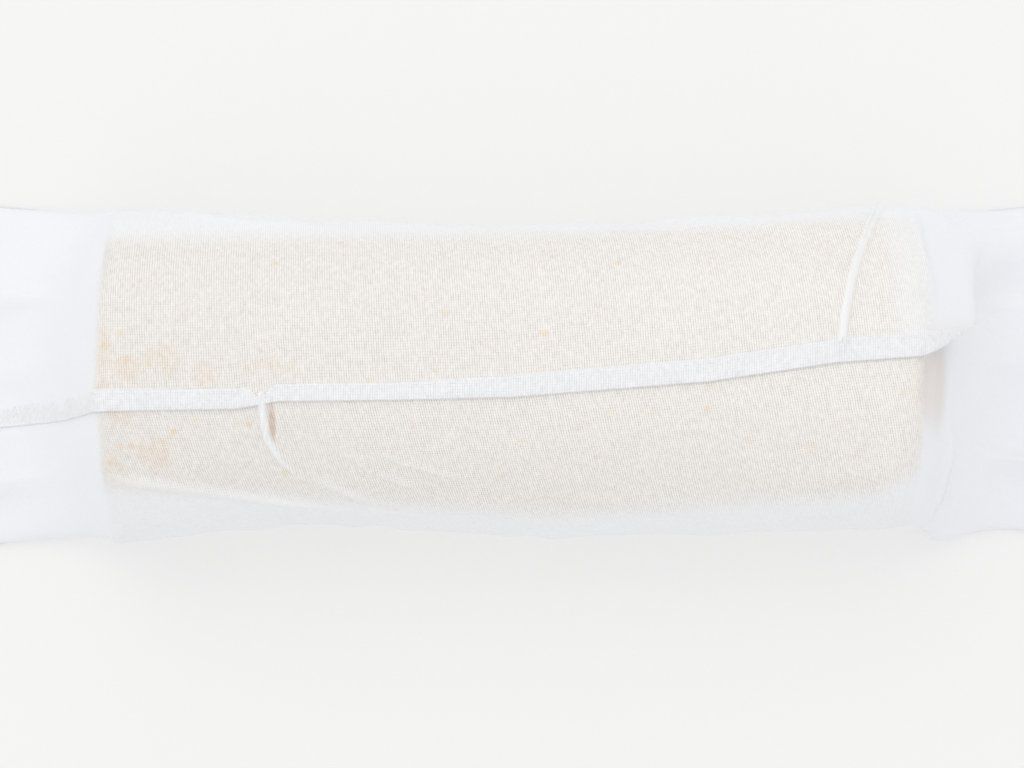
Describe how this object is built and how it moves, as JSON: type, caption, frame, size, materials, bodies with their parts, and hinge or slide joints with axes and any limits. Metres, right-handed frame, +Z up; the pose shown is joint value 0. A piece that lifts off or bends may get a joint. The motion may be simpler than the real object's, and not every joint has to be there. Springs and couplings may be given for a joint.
{
  "type": "herbal compress",
  "caption": "Herbal compress in roll form: a cylinder of herbs in a sewn bag, rolled in one hemmed muslin square whose open ends lie as flat tails.",
  "frame": {"origin": "on the table, under the middle of the roll", "axes": "+X along the roll to its right end, +Y to the back, +Z up; the free hemmed edge lies on the top"},
  "size_m": [0.4, 0.1, 0.0676],
  "materials": {
    "muslin": "matte",
    "muslin_hem": "matte",
    "thread": "satin",
    "bag_cloth": "matte",
    "ground_herbs": "matte",
    "plai": "matte",
    "turmeric": "matte",
    "lemongrass": "matte",
    "lime_peel": "matte",
    "camphor": "gloss",
    "salt": "matte"
  },
  "bodies": {
    "roll": {"wrap_inner_turn": "muslin", "wrap_outer_turn": "muslin", "start_edge_hem": "muslin_hem", "left_shoulder": "muslin", "right_shoulder": "muslin", "left_shoulder_hem": "muslin_hem", "right_shoulder_hem": "muslin_hem", "bag_tube": "bag_cloth", "bag_left_end": "bag_cloth", "bag_right_end": "bag_cloth", "bag_left_seam": "bag_cloth", "bag_right_seam": "bag_cloth", "bag_side_seam": "bag_cloth", "bag_end_stitching": "thread", "bag_side_stitching": "thread", "herb_fill": "ground_herbs", "plai_slices": "plai", "turmeric_slices": "turmeric", "lemongrass_cuts": "lemongrass", "lime_peel_pieces": "lime_peel", "camphor_crystals": "camphor", "salt_grains": "salt"},
    "flap": {"free_flap": "muslin", "free_edge_hem": "muslin_hem", "free_edge_stitching": "thread"},
    "left_tail": {"left_tail": "muslin", "left_tail_end_hem": "muslin_hem", "left_tail_edge_hem": "muslin_hem", "left_tail_stitching": "thread"},
    "right_tail": {"right_tail": "muslin", "right_tail_end_hem": "muslin_hem", "right_tail_edge_hem": "muslin_hem", "right_tail_stitching": "thread"}
  },
  "joints": [
    {"name": "free_flap_lift", "type": "hinge", "parent": "roll", "child": "flap", "pos_m": [0, 0.0297, 0.04965], "axis": [-1, 0, 0], "range_deg": [0, 70]},
    {"name": "left_tail_fold", "type": "hinge", "parent": "roll", "child": "left_tail", "pos_m": [-0.116, 0, 0.0042], "axis": [0, 1, 0], "range_deg": [0, 100]},
    {"name": "right_tail_fold", "type": "hinge", "parent": "roll", "child": "right_tail", "pos_m": [0.116, 0, 0.0042], "axis": [0, -1, 0], "range_deg": [0, 100]}
  ]
}
